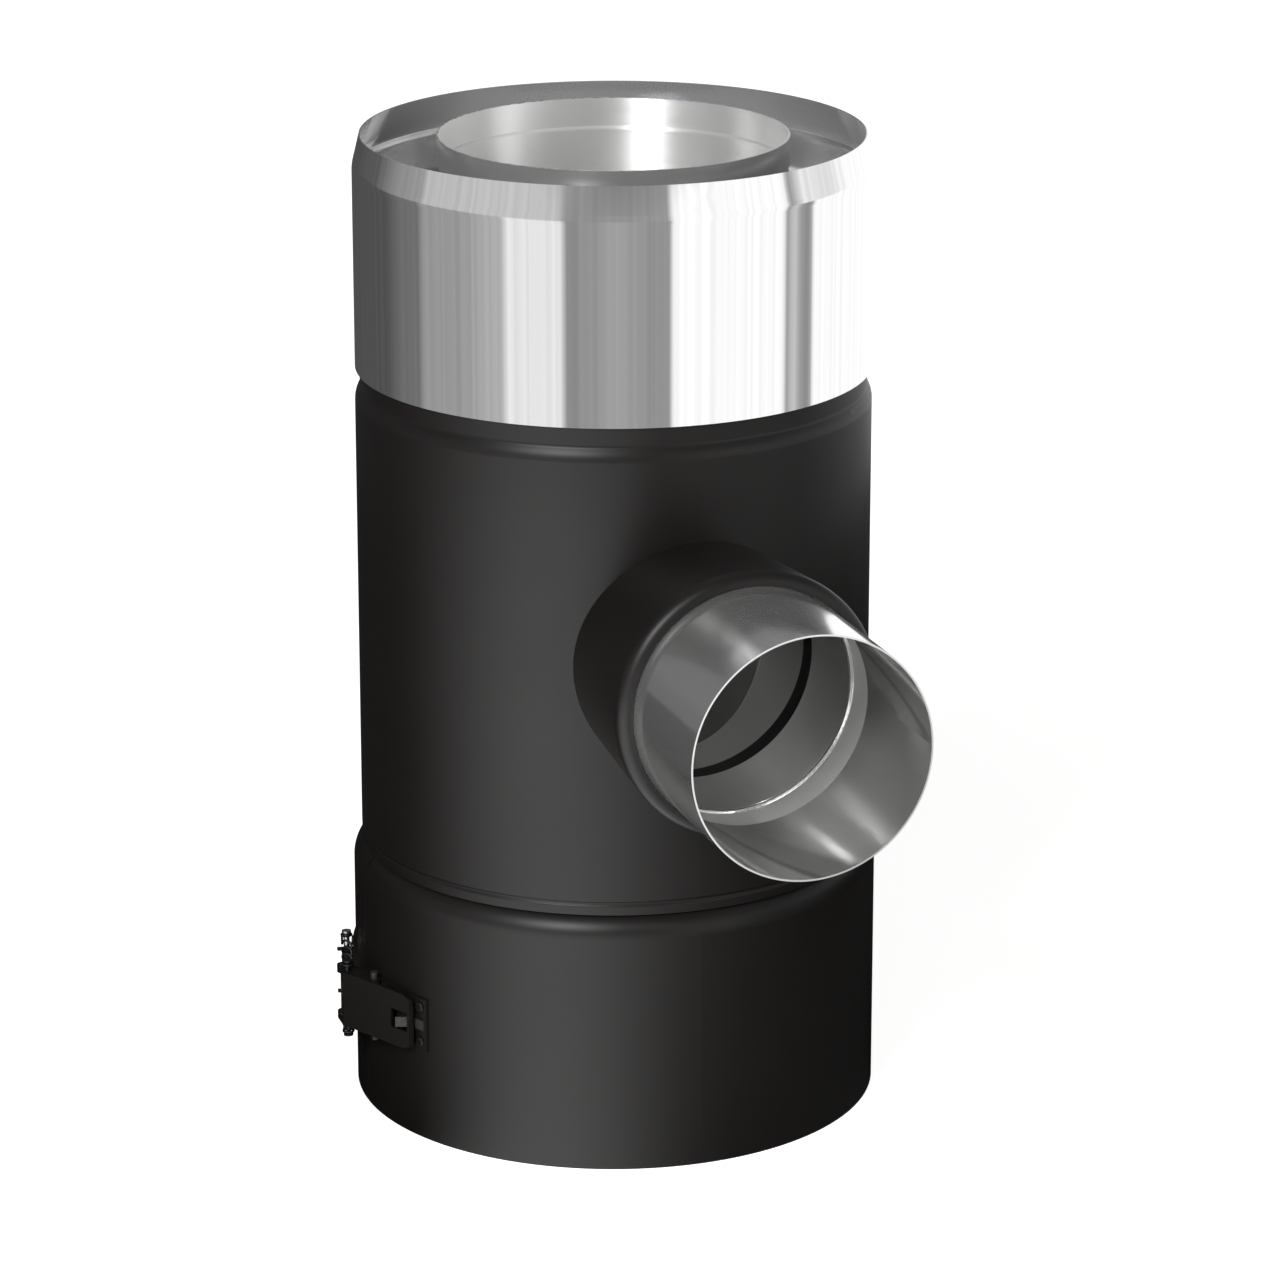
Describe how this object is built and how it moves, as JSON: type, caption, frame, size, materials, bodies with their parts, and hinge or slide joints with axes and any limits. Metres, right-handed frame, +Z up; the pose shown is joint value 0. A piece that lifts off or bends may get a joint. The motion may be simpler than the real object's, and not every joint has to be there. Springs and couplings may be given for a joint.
{
  "type": "pellet vent tee",
  "caption": "insulated twin-wall flue tee with a reduced side branch, a latched clean-out base and an open socket at the top",
  "frame": {"origin": "on the flue axis, in the plane of the base's underside", "axes": "+Z up along the flue, +X out of the branch, the latch on the -Y side"},
  "size_m": [0.2882, 0.1971, 0.3459],
  "materials": {
    "black_coat": "satin black powder coat",
    "polished_steel": "polished stainless steel",
    "liner_steel": "plain stainless steel sheet",
    "mineral_wool": "mineral wool",
    "silicone": "black silicone",
    "zinc_plate": "bright zinc plate"
  },
  "bodies": {
    "casing": {"base_pan": "black_coat", "jacket_band": "black_coat", "seam_strip": "liner_steel", "base_drum": "black_coat", "floor_insulation": "mineral_wool", "soot_cup": "liner_steel", "cup_gasket": "silicone", "base_insulation": "mineral_wool", "base_cover_ring": "liner_steel", "tee_shell": "black_coat", "tee_liner": "liner_steel", "tee_insulation": "mineral_wool", "tee_cover_ring": "liner_steel", "branch_tube": "polished_steel", "branch_seal": "silicone", "branch_collar": "black_coat", "top_sleeve": "polished_steel", "top_liner": "polished_steel", "top_insulation": "mineral_wool", "top_cover_ring": "polished_steel", "latch_base": "black_coat", "latch_base_rivets": "black_coat", "safety_tongue": "zinc_plate", "pivot_pin": "zinc_plate", "catch_plate": "black_coat", "catch_rivets": "black_coat"},
    "lever": {"latch_lever": "black_coat", "spring_pin": "black_coat", "cross_pin": "zinc_plate"},
    "bail": {"draw_spring_upper": "black_coat", "draw_spring_lower": "black_coat", "hook_bar": "zinc_plate"}
  },
  "joints": [
    {"name": "lever_hinge", "type": "hinge", "parent": "casing", "child": "lever", "pos_m": [0, -0.101, 0.043], "axis": [0, 0, -1], "range_deg": [0, 150]},
    {"name": "bail_hinge", "type": "hinge", "parent": "lever", "child": "bail", "pos_m": [0.00666, -0.10187, 0.043], "axis": [0, 0, -1], "range_deg": [-150, 0]}
  ],
  "couplings": [
    {"joint": "bail_hinge", "follows": "lever_hinge", "ratio": -1}
  ]
}
